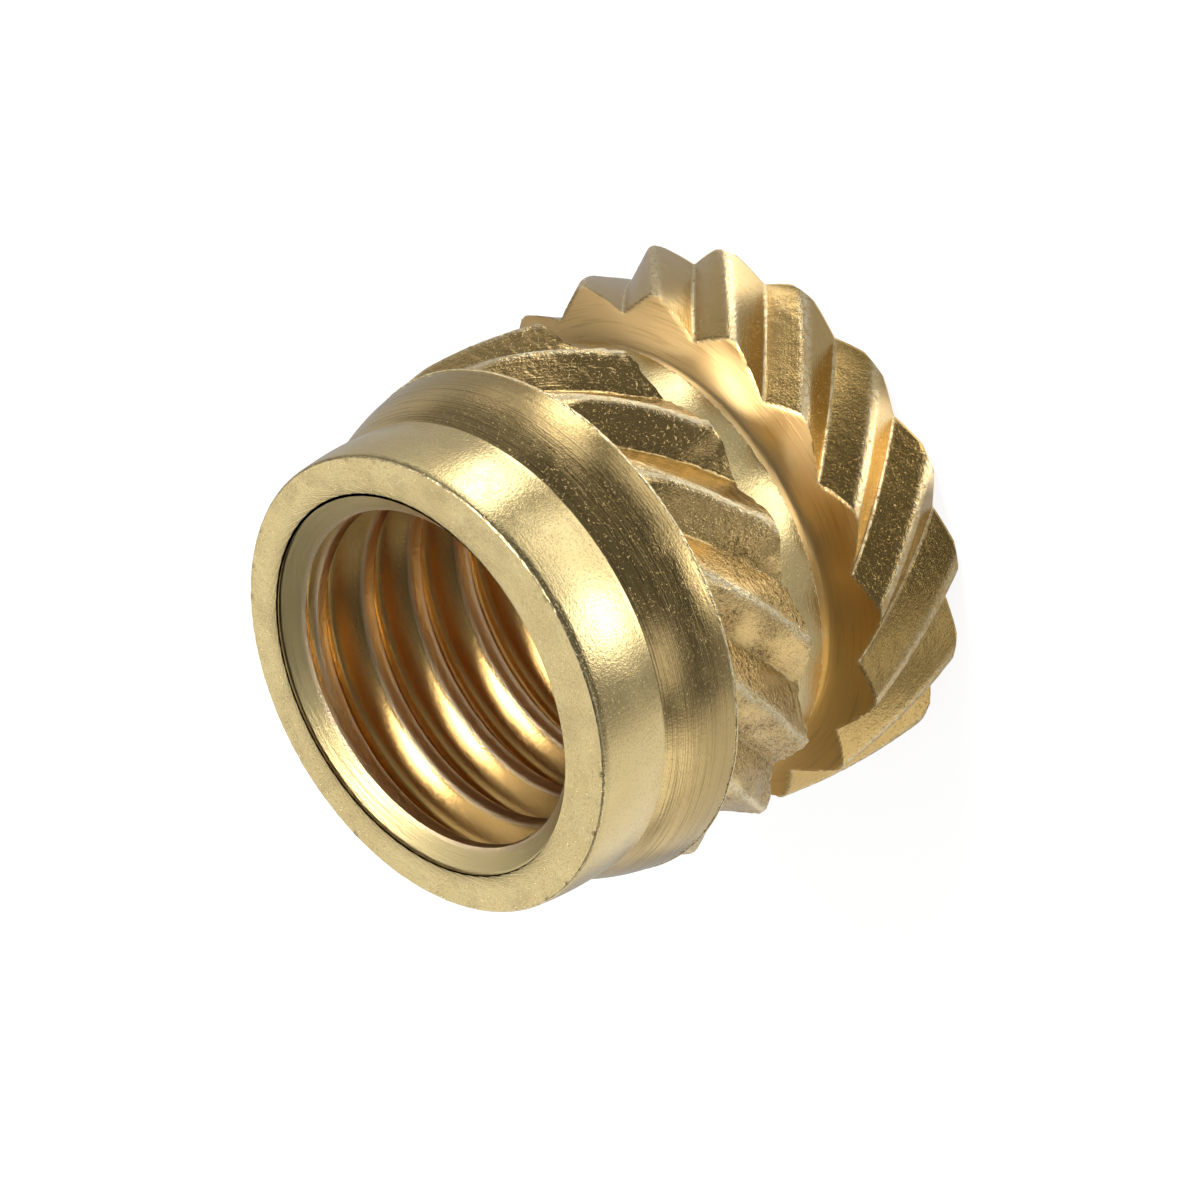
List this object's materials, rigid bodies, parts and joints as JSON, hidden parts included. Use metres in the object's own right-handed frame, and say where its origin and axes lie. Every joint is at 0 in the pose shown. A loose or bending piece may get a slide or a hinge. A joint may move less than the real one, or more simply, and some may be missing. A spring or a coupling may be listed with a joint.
{
  "type": "threaded insert",
  "caption": "Brass threaded insert with a smooth pilot, rounded shoulder and opposed helical knurls parted by a groove, for setting a machine-screw thread in a plastic boss.",
  "frame": {"origin": "on the bore axis, at the centre of the flat rear end", "axes": "+Z along the bore axis, from the flat rear end towards the smooth pilot end"},
  "size_m": [0.0104, 0.0104, 0.009],
  "materials": {
    "brass": "turned and knurled, as machined, bare metal"
  },
  "bodies": {
    "root": {"insert_body": "brass"}
  },
  "joints": []
}
